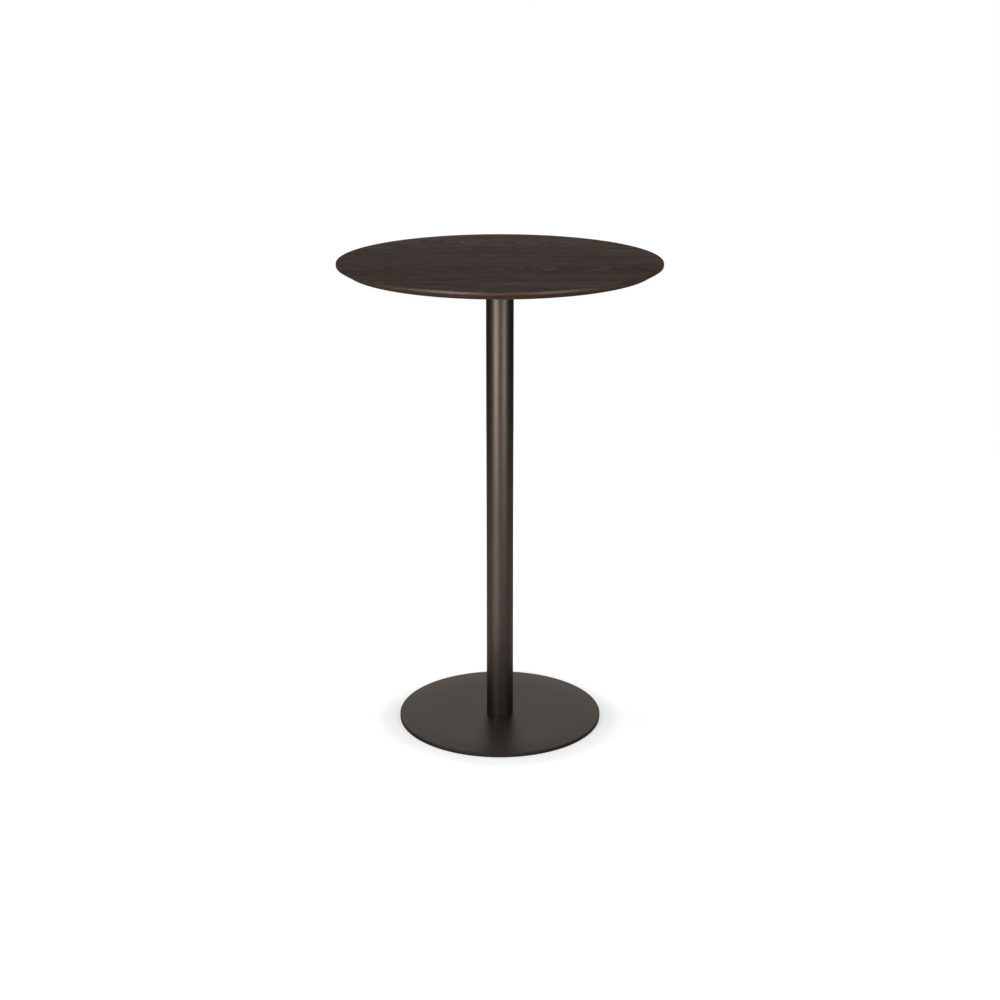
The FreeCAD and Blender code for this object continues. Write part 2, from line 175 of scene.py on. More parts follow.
def add_node(tree, kind, values=None, **settings):
    """A node with its settings and its inputs."""
    node = tree.nodes.new("ShaderNode" + kind)
    for key, setting in settings.items():
        setattr(node, key, setting)
    feed(tree, node, values or {})
    return node


def maths(tree, operation, first, second=0.0, third=0.0):
    """The result of one sum on one, two or three values."""
    return add_node(tree, "Math", {0: first, 1: second, 2: third}, operation=operation).outputs[0]


def noise(tree, place, scale, detail=2.0, rough=0.5, stretch=(1, 1, 1)):
    """Noise from 0 to 1 at a scale per metre, drawn out along the axes whose stretch is under 1."""
    drawn = add_node(tree, "Mapping", {"Vector": place, "Scale": stretch}).outputs[0]
    values = {"Vector": drawn, "Scale": scale, "Detail": detail, "Roughness": rough}
    return add_node(tree, "TexNoise", values).outputs[0]


def swing(tree, pattern, weight, base):
    """A base value that a pattern from 0 to 1 raises or lowers about its middle."""
    middle = 0.5
    return maths(tree, "MULTIPLY_ADD", maths(tree, "SUBTRACT", pattern, middle), weight, base)


def span(tree, value, low, high, to_low=0.0, to_high=1.0, kind="LINEAR"):
    """A value carried from one range to another and held inside it."""
    values = {"Value": value, "From Min": low, "From Max": high, "To Min": to_low, "To Max": to_high}
    return add_node(tree, "MapRange", values, interpolation_type=kind).outputs[0]


def opaque(colour):
    """A colour with full alpha, or the socket that gives one."""
    return colour if isinstance(colour, bpy.types.NodeSocket) else (*colour, 1)


def blend_colour(tree, share, first, second, mode="MIX"):
    """Two colours mixed by a share. A Mix node's colours are its inputs 6 and 7 and its output 2."""
    values = {0: share, 6: opaque(first), 7: opaque(second)}
    return add_node(tree, "Mix", values, data_type="RGBA", blend_type=mode).outputs[2]


def from_axis(tree, parts):
    """How far the place that was split into these parts lies from the upright axis."""
    x = parts.outputs["X"]
    y = parts.outputs["Y"]
    squares = maths(tree, "MULTIPLY_ADD", x, x, maths(tree, "MULTIPLY", y, y))
    return maths(tree, "SQRT", squares)


def new_group(name, inputs, outputs):
    """An empty node group with its sockets, and its input and output nodes."""
    group = bpy.data.node_groups.new(name, "ShaderNodeTree")
    for label, kind, value in inputs:
        socket = group.interface.new_socket(label, in_out="INPUT", socket_type="NodeSocket" + kind)
        if value is not None:
            socket.default_value = value
    for label, kind in outputs:
        group.interface.new_socket(label, in_out="OUTPUT", socket_type="NodeSocket" + kind)
    return group, group.nodes.new("NodeGroupInput"), group.nodes.new("NodeGroupOutput")


def finish_group(name, inputs=()):
    """An empty node group that takes a place and gives a colour, a roughness and a height."""
    outputs = [("Colour", "Color"), ("Roughness", "Float"), ("Height", "Float")]
    return new_group(name, [("Place", "Vector", None), *inputs], outputs)


def new_material(name):
    """A material with its node tree and its shader."""
    material = bpy.data.materials.new(name)
    material.use_nodes = True
    return material, material.node_tree, material.node_tree.nodes["Principled BSDF"]


def finish_shader(tree, shader, colour, effect, depth):
    """Feeds the shader a colour, and a placed group's roughness and its height as relief of a depth."""
    relief = add_node(tree, "Bump", {"Height": effect.outputs["Height"], "Distance": depth})
    feed(tree, shader, {
        "Base Color": colour,
        "Roughness": effect.outputs["Roughness"],
        "Normal": relief.outputs[0],
    })


def surface(name, group, values, depth, metallic=0.0):
    """A material whose colour, roughness and relief all come from one placed group."""
    material, tree, shader = new_material(name)
    shader.inputs["Metallic"].default_value = metallic
    place = add_node(tree, "TexCoord").outputs["Object"]
    effect = add_node(tree, "Group", {"Place": place, **values}, node_tree=group)
    finish_shader(tree, shader, effect.outputs["Colour"], effect, depth)
    return material


def powder_coat():
    """Baked powder coat: orange peel, faint clouds, metal flakes, and painted shade with a duller finish
    on a rim.
    """
    group, given, made = finish_group("powder_coat", [
        ("Dark", "Color", opaque(BRONZE)),
        ("Pale", "Color", opaque(BRONZE_PALE)),
        ("Dullness", "Float", BRONZE_ROUGHNESS),
        ("Rim", "Float", NO_RIM_SHADE),
    ])
    place = given.outputs["Place"]
    cloud = noise(group, place, **CLOUD)
    flake = noise(group, place, **FLAKE)
    peel = noise(group, place, **PEEL)
    sparkle = maths(group, "MULTIPLY", span(group, flake, *FLAKE_SPAN), FLAKE_PALE_SHARE)
    share = maths(group, "MULTIPLY_ADD", cloud, CLOUD_PALE_SHARE, sparkle)
    colour = blend_colour(group, share, given.outputs["Dark"], given.outputs["Pale"])
    # Painted shade on the rim: in a band just inside the rim the colour is darkened towards black.
    radius = from_axis(group, add_node(group, "SeparateXYZ", {0: place}))
    beyond = maths(group, "SUBTRACT", radius, given.outputs["Rim"])
    edge = span(group, beyond, -RIM_SHADE_DEPTH, -RIM_SHADE_FADE_SHARE * RIM_SHADE_DEPTH)
    colour = blend_colour(group, maths(group, "MULTIPLY", edge, PAINTED_RIM_SHADE), colour, BLACK)
    rough = swing(group, cloud, CLOUD_ROUGHNESS, given.outputs["Dullness"])
    rough = maths(group, "MULTIPLY_ADD", edge, RIM_ROUGHNESS, rough)
    rough = maths(group, "MULTIPLY_ADD", peel, PEEL_ROUGHNESS, rough)
    height = maths(group, "MULTIPLY_ADD", flake, FLAKE_RELIEF_SHARE, peel)
    feed(group, made, {"Colour": colour, "Roughness": rough, "Height": height})
    return group


def dress(piece, node, material):
    """Gives a piece its material and its place in the table, in the stead of a node."""
    piece.data.materials.clear()
    piece.data.materials.append(material)
    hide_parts(node)
    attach(piece, "root")


def base_outline():
    """Half section of the base plate, from its middle underneath round the rim to its middle on top."""
    low = base_low.z
    high = base_high.z
    under = BASE_UNDER_ROUND
    over = BASE_RIM_ROUND
    points = [(0, low), (BASE_RADIUS * UNDER_RING_SHARE, low)]
    points += arc((BASE_RADIUS - under, low + under), under, -90, 0)
    points += arc((BASE_RADIUS - over, high - over), over, 0, 90)
    points += [(BASE_RADIUS * share, high) for share in UPPER_RING_SHARES]
    return points + [(0, high)]


def glide_seat_outline():
    """Half section of the seat of a glide, from below the plate up to the glide's upper face."""
    seat = GLIDE_RADIUS + GLIDE_SEAT_GAP
    below = base_low.z - OVERRUN
    return [(0, below), (seat, below), (seat, glide_high.z), (0, glide_high.z)]


def foot_hole_outline():
    """Half section of a countersunk hole, which a thin skin closes under the column."""
    head = FOOT_SCREW_HEAD + FOOT_HOLE_GAP
    shank = FOOT_SCREW_SHANK + FOOT_HOLE_GAP
    low = base_low.z
    below = low - OVERRUN
    skin = base_high.z - FOOT_HOLE_SKIN
    return [(0, below), (head, below), (head, low), (shank, low + head - shank), (shank, skin), (0, skin)]


cutters = []
for place in on_circle(GLIDE_CIRCLE, GLIDE_COUNT):
    cutters.append(turned("seat", glide_seat_outline(), HOLE_SEGMENTS, place))
for place in on_circle(FOOT_SCREW_CIRCLE, FOOT_SCREW_COUNT):
    cutters.append(turned("sink", foot_hole_outline(), HOLE_SEGMENTS, place))
base = turned("base_disc", base_outline(), WIDE_SEGMENTS)
cut(base, cutters)
shade(base)
COAT = powder_coat()
# The base's rim gets the coat's painted shade.
bronze_base = surface("bronze_base", COAT, {"Rim": BASE_RADIUS}, COAT_RELIEF, metallic=1.0)
dress(base, "base_plate", bronze_base)

# Floor glides.
# Six moulded discs of black polyethylene, stuck into shallow seats under the base plate.
# They stand 1 mm below the steel and carry the table.

GLIDE_ROUND = 0.5 * MM
GLIDE_SEGMENTS = 64
PLASTIC_BLACK = (0.02, 0.02, 0.021)
PLASTIC_WORN = (0.034, 0.034, 0.035)
PLASTIC_RELIEF = 0.01 * MM
PLASTIC_GRAIN = {"scale": 1400}
SCUFF = {"scale": 260, "detail": 4, "rough": 0.65}
WORN_SPAN = (0.45, 0.75)
SCUFF_SPAN = (0.3, 0.7)
SCUFF_ROUGHNESS = (0.42, 0.6)


def moulded_plastic():
    """Moulded polyethylene with a fine grain and a soft scuffing."""
    group, given, made = finish_group("glide_plastic")
    place = given.outputs["Place"]
    scuff = noise(group, place, **SCUFF)
    feed(group, made, {
        "Colour": blend_colour(group, span(group, scuff, *WORN_SPAN), PLASTIC_BLACK, PLASTIC_WORN),
        "Roughness": span(group, scuff, *SCUFF_SPAN, *SCUFF_ROUGHNESS),
        "Height": noise(group, place, **PLASTIC_GRAIN),
    })
    return group


def join(name, parts):
    """One object from several."""
    bm = bmesh.new()
    for part in parts:
        bm.from_mesh(part.data)
        bpy.data.objects.remove(part)
    return new_piece(name, bm)


def glide_outline():
    """Half section of one glide, with a rounded lower edge."""
    low = glide_low.z
    edge = GLIDE_ROUND
    points = [(0, low)] + arc((GLIDE_RADIUS - edge, low + edge), edge, -90, 0)
    return points + [(GLIDE_RADIUS, glide_high.z), (0, glide_high.z)]


discs = []
for place in on_circle(GLIDE_CIRCLE, GLIDE_COUNT):
    discs.append(turned("disc", glide_outline(), GLIDE_SEGMENTS, place))
glides = join("disc_glides", discs)
shade(glides)
black_plastic = surface("glide_plastic", moulded_plastic(), {}, PLASTIC_RELIEF)
dress(glides, "floor_glides", black_plastic)

# Screws, washers and the turned parts inside.
# The screws, washers, nut and tie rod are bright zinc plated steel. The two spigots that centre the
# column are turned from bar and keep the fine rings that the lathe leaves.

ZINC_PIECES = (
    "foot_screws", "head_screws", "plate_screws", "plate_washers",
    "head_washer", "head_nut", "tie_rod",
)
TURNED_PIECES = ("foot_spigot", "head_spigot")
ZINC = (0.5, 0.5, 0.49)
ZINC_DULL = (0.36, 0.36, 0.36)
ZINC_RINGS = 2200
ZINC_RELIEF = 0.01 * MM
TURNED_STEEL = (0.4, 0.39, 0.38)
TURNED_DULL = (0.3, 0.29, 0.28)
TURNED_RINGS = 3600
TURNED_RELIEF = 0.02 * MM
METAL_CLOUD = {"scale": 160, "detail": 3, "rough": 0.6}
METAL_DULL_SPAN = (0.35, 0.7)
METAL_ROUGH_SPAN = (0.3, 0.7)
METAL_ROUGHNESS = (0.24, 0.42)
RINGS_STRETCH = (0.05, 0.05, 1)


def bright_metal():
    """Bright metal, a little cloudy, with fine rings round it at a scale per metre."""
    group, given, made = finish_group("bright_metal", [
        ("Bright", "Color", None),
        ("Dull", "Color", None),
        ("Rings", "Float", None),
    ])
    place = given.outputs["Place"]
    cloud = noise(group, place, **METAL_CLOUD)
    dull = span(group, cloud, *METAL_DULL_SPAN)
    rings = noise(group, place, given.outputs["Rings"], detail=1, stretch=RINGS_STRETCH)
    feed(group, made, {
        "Colour": blend_colour(group, dull, given.outputs["Bright"], given.outputs["Dull"]),
        "Roughness": span(group, cloud, *METAL_ROUGH_SPAN, *METAL_ROUGHNESS),
        "Height": rings,
    })
    return group


def metal(name, bright, dull, rings, depth):
    """A material of bright metal in its own colours."""
    values = {"Bright": opaque(bright), "Dull": opaque(dull), "Rings": rings}
    return surface(name, METAL, values, depth, metallic=1.0)


def finish_node(node, material):
    """Gives a node that keeps its own shape a material."""
    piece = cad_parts[node]
    piece.data.materials.clear()
    piece.data.materials.append(material)


METAL = bright_metal()
zinc = metal("zinc_plate", ZINC, ZINC_DULL, ZINC_RINGS, ZINC_RELIEF)
for node in ZINC_PIECES:
    finish_node(node, zinc)
turned_steel = metal("turned_steel", TURNED_STEEL, TURNED_DULL, TURNED_RINGS, TURNED_RELIEF)
for node in TURNED_PIECES:
    finish_node(node, turned_steel)

# Column.
# A round steel tube, 60 mm across with a 2 mm wall, cut square and powder coated like the base.
# It slips over both spigots, and the tie rod inside clamps it between the two plates.

tube_low, tube_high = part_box("column_tube")
TUBE_RADIUS = 30 * MM
TUBE_WALL = 2 * MM
TUBE_ARRIS = 0.3 * MM
TUBE_SEGMENTS = 192
TUBE_ROUGHNESS = 0.42
ARRIS_STEPS = 3


def tube_outline():
    """Closed section of the tube's wall, with its outer arrises just broken."""
    outer = TUBE_RADIUS
    inner = TUBE_RADIUS - TUBE_WALL
    edge = TUBE_ARRIS
    points = [(inner, tube_low.z)]
    points += arc((outer - edge, tube_low.z + edge), edge, -90, 0, ARRIS_STEPS)
    points += arc((outer - edge, tube_high.z - edge), edge, 0, 90, ARRIS_STEPS)
    return points + [(inner, tube_high.z)]


tube = turned("tube", tube_outline(), TUBE_SEGMENTS, closed=True)
shade(tube)
bronze_tube = surface("bronze_tube", COAT, {"Dullness": TUBE_ROUGHNESS}, COAT_RELIEF, metallic=1.0)
dress(tube, "column_tube", bronze_tube)

# Plate under the top.
# A round plate of 5 mm steel in the same bronze coat, screwed up into the board through four holes
# near its rim. Three countersunk screws hold it on the head spigot.

PLATE_RADIUS = -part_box("top_plate")[0].x

# The plate's rim gets the coat's painted shade too.
bronze_plate = surface("bronze_plate", COAT, {"Rim": PLATE_RADIUS}, COAT_RELIEF, metallic=1.0)
finish_node("top_plate", bronze_plate)

# Board core and its inserts.
# A disc of raw fibreboard, which the edge and the veneers cover on all sides. Four plain brass inserts
# are screwed into it from below, flush with the underside, for the screws of the plate.

FIBREBOARD = (0.42, 0.30, 0.19)
FIBREBOARD_DARK = (0.33, 0.23, 0.14)
FIBREBOARD_RELIEF = 0.1 * MM
FELT = {"scale": 700, "detail": 4, "rough": 0.7}
FELT_DARK_SPAN = (0.35, 0.7)
FELT_ROUGHNESS = (0.8, 0.95)
BRASS = (0.6, 0.42, 0.18)
BRASS_DULL = (0.45, 0.31, 0.14)
BRASS_RINGS = 2400
BRASS_RELIEF = 0.01 * MM


def fibre_grain():
    """Raw fibreboard: fine felted fibres."""
    group, given, made = finish_group("fibreboard")
    felt = noise(group, given.outputs["Place"], **FELT)
    feed(group, made, {
        "Colour": blend_colour(group, span(group, felt, *FELT_DARK_SPAN), FIBREBOARD, FIBREBOARD_DARK),
        "Roughness": span(group, felt, 0.0, 1.0, *FELT_ROUGHNESS),
        "Height": felt,
    })
    return group


finish_node("core_board", surface("fibreboard", fibre_grain(), {}, FIBREBOARD_RELIEF))
finish_node("threaded_inserts", metal("insert_brass", BRASS, BRASS_DULL, BRASS_RINGS, BRASS_RELIEF))

# Solid edge.
# Oak bent round the board in six lengths and glued to it, with a short nose over a wide bevel. It is
# stained dark and lacquered matt, and its nose is rubbed to a low sheen.

edge_low, edge_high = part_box("edge_lipping")
veneer_low, veneer_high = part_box("face_veneer")
TOP_RADIUS = -edge_low.x
VENEER = veneer_high.z - veneer_low.z
LIPPING_WIDTH = 30 * MM
BEVEL_WIDTH = 22 * MM
NOSE_HEIGHT = 6 * MM
NOSE_FOOT = veneer_high.z - NOSE_HEIGHT
NOSE_ROUND = 1.5 * MM
ARRIS_ROUND = 1.2 * MM
VENEER_EDGE_ANGLE = math.degrees(math.asin((ARRIS_ROUND - VENEER) / ARRIS_ROUND))

EDGE_STAIN = {
    "Dark": (0.0205, 0.0098, 0.0056, 1),
    "Mid": (0.0355, 0.0178, 0.0102, 1),
    "Pale": (0.055, 0.0305, 0.0190, 1),
}
EDGE_LENGTH_COUNT = 6
EDGE_START_SHARE = 0.3
EDGE_HEART = 0.30
EDGE_REACH = -0.5
EDGE_SPECULAR = 0.05
NOSE_SHEEN = 0.61
NOSE_ROUGHNESS = 0.44
SHEEN_BELOW = 2 * MM
SHEEN_ABOVE = 1 * MM

OAK_PORE = (0.009, 0.006, 0.0045)
OAK_ROUGHNESS = (0.8, 0.7)
OAK_RELIEF = 0.05 * MM
MID_STAIN_SHARE = 0.5
LEAF_SHIFT_ALONG = 3.7
LEAF_SHIFT_ACROSS = 1.9

# Growth rings, drawn by how deep in the log a place lies. The depth grows slowly along the wood, so
# the rings show as arches.
OAK_RING = 2.6 * MM
ARCH_SLOPE = 0.13
LOG_TILT = 0.7
WAVER_ACROSS = 50 * MM
RIPPLE_ACROSS = 5 * MM
RIPPLE_ALONG = 4 * MM
JAG_DEPTH = 2 * MM
BANDS = {"scale": 44, "rough": 0.6}
BAND_RINGS = 4.0
EARLY_WOOD_SHARE = 0.55
EARLY_WOOD_CURVE = 1.5
RING_START_SHARE = 0.9
FAINTEST_RING_SHARE = 0.35

# Patterns in the wood, most of them drawn out along the grain, and how much each changes the tone.
WOOD_PATTERNS = {
    "waver": {"scale": 4.5, "stretch": (1, 1.4, 1)},
    "ripple": {"scale": 34, "detail": 3, "rough": 0.55, "stretch": (0.4, 1, 1)},
    "jag": {"scale": 260, "rough": 0.6, "stretch": (0.3, 1, 1)},
    "streaks": {"scale": 62, "detail": 4, "rough": 0.6, "stretch": (0.05, 1, 1)},
    "wide": {"scale": 11, "stretch": (0.12, 1, 1)},
    "mottle": {"scale": 75, "stretch": (0.25, 1, 1)},
    "flecks": {"scale": 72, "detail": 3, "rough": 0.6, "stretch": (0.6, 1, 1)},
    "fibres": {"scale": 1100, "detail": 3, "rough": 0.65, "stretch": (0.02, 1, 1)},
    "pores": {"scale": 1700, "detail": 1, "stretch": (0.045, 1, 1)},
}
TONE_LEVEL = 0.60
TONE_WEIGHTS = {
    "streaks": 1.2,
    "bands": 0.45,
    "wide": 0.8,
    "fibres": 1.0,
    "mottle": 0.7,
    "flecks": 0.9,
    "chance": 0.6,
}
EARLY_WOOD_TONE = -0.75
EARLY_WOOD_DEPTH = -0.25
FIBRE_HEIGHT = 0.35
PORE_SPAN = (0.54, 0.62)
PORE_EARLY_SPAN = (0.25, 0.7)
LATE_PORE_SHARE = 0.12
PORE_SHADE = 0.7
PORE_DEPTH = -1.0


def ring_depth(group, given, patterns):
    """How deep in the log a place lies, from the heart line across it and its reach along it."""
    parts = add_node(group, "SeparateXYZ", {0: given.outputs["Place"]})
    across = maths(group, "SUBTRACT", parts.outputs["Y"], given.outputs["Heart"])
    rise = maths(group, "SUBTRACT", parts.outputs["Z"], veneer_high.z)
    across = maths(group, "MULTIPLY_ADD", rise, LOG_TILT, across)
    across = swing(group, patterns["waver"], WAVER_ACROSS, across)
    across = swing(group, patterns["ripple"], RIPPLE_ACROSS, across)
    along = maths(group, "SUBTRACT", parts.outputs["X"], given.outputs["Reach"])
    along = swing(group, patterns["ripple"], RIPPLE_ALONG, maths(group, "MULTIPLY", along, ARCH_SLOPE))
    squares = maths(group, "MULTIPLY_ADD", across, across, maths(group, "MULTIPLY", along, along))
    return swing(group, patterns["jag"], JAG_DEPTH, maths(group, "SQRT", squares))


def early_wood(group, depth, bands):
    """The open start of each growth ring, from 0 to 1, and a chance that is the same all along a ring."""
    turns = maths(group, "MULTIPLY_ADD", bands, BAND_RINGS, maths(group, "DIVIDE", depth, OAK_RING))
    ring = maths(group, "FLOOR", turns)
    part = maths(group, "SUBTRACT", turns, ring)
    chance = add_node(group, "TexWhiteNoise", {"W": ring}, noise_dimensions="1D").outputs["Value"]
    fade = maths(group, "POWER", span(group, part, 0.0, EARLY_WOOD_SHARE, 1.0, 0.0), EARLY_WOOD_CURVE)
    early = maths(group, "MAXIMUM", fade, span(group, part, RING_START_SHARE, 1.0))
    strength = span(group, chance, 0.0, 1.0, FAINTEST_RING_SHARE, 1.0)
    return maths(group, "MULTIPLY", early, strength), chance


def oak_grain():
    """Stained oak: growth rings in arches, streaks along the grain and rows of open pores."""
    numbers = [(label, "Float", None) for label in ("Leaf", "Heart", "Reach")]
    stains = [(label, "Color", None) for label in ("Dark", "Mid", "Pale")]
    group, given, made = finish_group("oak_grain", numbers + stains)
    leaf = given.outputs["Leaf"]
    shift = add_node(group, "CombineXYZ", {
        "X": maths(group, "MULTIPLY", leaf, LEAF_SHIFT_ALONG),
        "Y": maths(group, "MULTIPLY", leaf, LEAF_SHIFT_ACROSS),
    })
    shifted = {0: given.outputs["Place"], 1: shift.outputs[0]}
    place = add_node(group, "VectorMath", shifted, operation="ADD").outputs[0]
    patterns = {name: noise(group, place, **pattern) for name, pattern in WOOD_PATTERNS.items()}

    depth = ring_depth(group, given, patterns)
    band_place = add_node(group, "CombineXYZ", {"X": depth, "Y": leaf}).outputs[0]
    patterns["bands"] = noise(group, band_place, **BANDS)
    early, patterns["chance"] = early_wood(group, depth, patterns["bands"])
    tone = TONE_LEVEL
    for name, weight in TONE_WEIGHTS.items():
        tone = swing(group, patterns[name], weight, tone)
    tone = maths(group, "MULTIPLY_ADD", early, EARLY_WOOD_TONE, tone)

    pores = span(group, patterns["pores"], *PORE_SPAN)
    pores = maths(group, "MULTIPLY", pores, span(group, early, *PORE_EARLY_SPAN, LATE_PORE_SHARE, 1.0))
    lower_tone = span(group, tone, 0.0, MID_STAIN_SHARE)
    upper_tone = span(group, tone, MID_STAIN_SHARE, 1.0)
    colour = blend_colour(group, lower_tone, given.outputs["Dark"], given.outputs["Mid"])
    colour = blend_colour(group, upper_tone, colour, given.outputs["Pale"])
    colour = blend_colour(group, maths(group, "MULTIPLY", pores, PORE_SHADE), colour, OAK_PORE)
    height = maths(group, "MULTIPLY", patterns["fibres"], FIBRE_HEIGHT)
    height = maths(group, "MULTIPLY_ADD", pores, PORE_DEPTH, height)
    height = maths(group, "MULTIPLY_ADD", early, EARLY_WOOD_DEPTH, height)
    rough = span(group, tone, 0.0, 1.0, *OAK_ROUGHNESS)
    feed(group, made, {"Colour": colour, "Roughness": rough, "Height": height})
    return group


def edge_oak():
    """Oak whose grain runs bent round the top, changes from length to length, and shines on the nose."""
    material, tree, shader = new_material("edge_oak")
    parts = add_node(tree, "SeparateXYZ", {0: add_node(tree, "TexCoord").outputs["Object"]})
    height = parts.outputs["Z"]
    angle = maths(tree, "ARCTAN2", parts.outputs["Y"], parts.outputs["X"])
    turns = maths(tree, "MULTIPLY_ADD", angle, EDGE_LENGTH_COUNT / TURN, EDGE_START_SHARE)
    run = maths(tree, "MULTIPLY", angle, TOP_RADIUS)
    bent = add_node(tree, "CombineXYZ", {"X": run, "Y": from_axis(tree, parts), "Z": height}).outputs[0]
    length = {"Place": bent, "Leaf": maths(tree, "FLOOR", turns), "Heart": EDGE_HEART, "Reach": EDGE_REACH}
    grain = add_node(tree, "Group", {**length, **EDGE_STAIN}, node_tree=OAK)
    finish_shader(tree, shader, grain.outputs["Colour"], grain, OAK_RELIEF)
    sheen = span(tree, height, NOSE_FOOT - SHEEN_BELOW, NOSE_FOOT + SHEEN_ABOVE, 0.0, NOSE_SHEEN)
    feed(tree, shader, {
        "Coat Weight": sheen,
        "Coat Roughness": NOSE_ROUGHNESS,
        "Specular IOR Level": EDGE_SPECULAR,
    })
    return material


def edge_outline():
    """Closed section of the solid edge: bevel, rounded turn, nose and the lower part of the arris."""
    inner = TOP_RADIUS - LIPPING_WIDTH
    drop = NOSE_FOOT - (edge_low.z - VENEER)
    slope = math.atan2(BEVEL_WIDTH, drop)
    reach = NOSE_ROUND * math.tan(slope / 2)
    bevel_foot = TOP_RADIUS - BEVEL_WIDTH * (drop - VENEER) / drop
    points = [(inner, edge_low.z), (bevel_foot, edge_low.z)]
    points += arc((TOP_RADIUS - NOSE_ROUND, NOSE_FOOT + reach), NOSE_ROUND, -math.degrees(slope), 0)
    centre = (TOP_RADIUS - ARRIS_ROUND, veneer_high.z - ARRIS_ROUND)
    points += arc(centre, ARRIS_ROUND, 0, VENEER_EDGE_ANGLE, ARRIS_STEPS)
    return points + [(inner, edge_high.z)]


OAK = oak_grain()
edge = turned("oak_edge", edge_outline(), WIDE_SEGMENTS, closed=True)
shade(edge)
dress(edge, "edge_lipping", edge_oak())

# Face and backing veneers.
# Oak leaves, joined side by side and pressed over the board and its solid edge, stained dark and
# lacquered matt. A plain sheet of the same oak on the underside keeps the board from bending.

VENEER_RING_SHARE = 0.6
OAK_STAIN = {
    "Dark": (0.0191, 0.0119, 0.0090, 1),
    "Mid": (0.0340, 0.0223, 0.0170, 1),
    "Pale": (0.0512, 0.0354, 0.0278, 1),
}
FACE_SPECULAR = 0.07
BACKING = {"Heart": 0.02, "Reach": -0.5}

# The leaves of the face from front to back: the seams between them as shares of the top's width, each
# leaf's heart line, and how far along it its arches close.
LEAF_SEAM_SHARES = (0.163, 0.294, 0.626)
LEAF_HEARTS = (-0.41, -0.28, -0.088, 0.235)
LEAF_REACHES = (-0.9, 0.8, -0.6, 0.75)
JOINT_HALF_WIDTH = 0.1 * MM
JOINT_FADE = 0.6 * MM
JOINT_SHADE = 0.6
# Tones as pairs of a share of the top's width and a brightness, one line for each leaf. The last leaf's
# rise towards the back edge is a painted sheen.
LEAF_TONES_AND_BACK_SHEEN = (
    (0.0, 0.96), (0.10, 1.05), (0.155, 1.10),
    (0.163, 0.84), (0.21, 1.06), (0.24, 1.0), (0.285, 1.14),
    (0.294, 0.78), (0.32, 0.96), (0.42, 1.10), (0.55, 1.10), (0.61, 0.98),
    (0.626, 0.82), (0.66, 1.08), (0.80, 1.30), (1.0, 1.65),
)
BRIGHTEST_TONE = 2.0


def leaf_layout():
    """Which leaf a place lies on, with the leaf's heart line and reach, its joints, and its tone with a
    painted sheen towards the back edge.
    """
    labels = ("Leaf", "Heart", "Reach", "Joint", "Tone")
    outputs = [(label, "Float") for label in labels]
    group, given, made = new_group("leaf_layout", [("Place", "Vector", None)], outputs)
    across = add_node(group, "SeparateXYZ", {0: given.outputs["Place"]}).outputs["Y"]
    leaf = 0.0
    heart = LEAF_HEARTS[0]
    reach = LEAF_REACHES[0]
    joint = 0.0
    for number, seam_share in enumerate(LEAF_SEAM_SHARES):
        seam = (seam_share - 0.5) * 2 * TOP_RADIUS
        past = maths(group, "GREATER_THAN", across, seam)
        leaf = maths(group, "ADD", leaf, past)
        heart = maths(group, "MULTIPLY_ADD", past, LEAF_HEARTS[number + 1] - LEAF_HEARTS[number], heart)
        reach = maths(group, "MULTIPLY_ADD", past, LEAF_REACHES[number + 1] - LEAF_REACHES[number], reach)
        away = maths(group, "ABSOLUTE", maths(group, "SUBTRACT", across, seam))
        joint = maths(group, "ADD", joint, span(group, away, JOINT_HALF_WIDTH, JOINT_FADE, 1.0, 0.0))
    width_share = maths(group, "MULTIPLY_ADD", across, 0.5 / TOP_RADIUS, 0.5)
    ramp = add_node(group, "ValToRGB", {0: width_share})
    stops = ramp.color_ramp.elements
    for number, (share, tone) in enumerate(LEAF_TONES_AND_BACK_SHEEN):
        stop = stops[number] if number < len(stops) else stops.new(share)
        stop.position = share
        level = tone / BRIGHTEST_TONE
        stop.color = (level, level, level, 1)
    tone = maths(group, "MULTIPLY", ramp.outputs[0], BRIGHTEST_TONE)
    feed(group, made, dict(zip(labels, (leaf, heart, reach, joint, tone))))
    return group


def face_oak():
    """Stained oak in leaves of their own grain and tone, with fine dark joints and a painted sheen towards
    the back edge.
    """
    material, tree, shader = new_material("face_oak")
    place = add_node(tree, "TexCoord").outputs["Object"]
    leaves = add_node(tree, "Group", {"Place": place}, node_tree=leaf_layout())
    leaf = {label: leaves.outputs[label] for label in ("Leaf", "Heart", "Reach")}
    grain = add_node(tree, "Group", {"Place": place, **leaf, **OAK_STAIN}, node_tree=OAK)
    # The tone holds each leaf's own brightness and a painted sheen that brightens the back of the top.
    tone = leaves.outputs["Tone"]
    grey = add_node(tree, "CombineColor", {0: tone, 1: tone, 2: tone}).outputs[0]
    colour = blend_colour(tree, 1.0, grain.outputs["Colour"], grey, "MULTIPLY")
    joint = maths(tree, "MULTIPLY", leaves.outputs["Joint"], JOINT_SHADE)
    finish_shader(tree, shader, blend_colour(tree, joint, colour, OAK_PORE), grain, OAK_RELIEF)
    shader.inputs["Specular IOR Level"].default_value = FACE_SPECULAR
    return material


def veneer_outline():
    """Half section of the face veneer, whose rim is the upper part of the rounded arris."""
    ring = TOP_RADIUS * VENEER_RING_SHARE
    points = [(0, veneer_low.z), (ring, veneer_low.z)]
    centre = (TOP_RADIUS - ARRIS_ROUND, veneer_high.z - ARRIS_ROUND)
    points += arc(centre, ARRIS_ROUND, VENEER_EDGE_ANGLE, 90)
    return points + [(ring, veneer_high.z), (0, veneer_high.z)]


veneer = turned("veneer_sheet", veneer_outline(), WIDE_SEGMENTS)
shade(veneer)
dress(veneer, "face_veneer", face_oak())
finish_node("backing_veneer", surface("backing_oak", OAK, {**BACKING, **OAK_STAIN}, OAK_RELIEF))
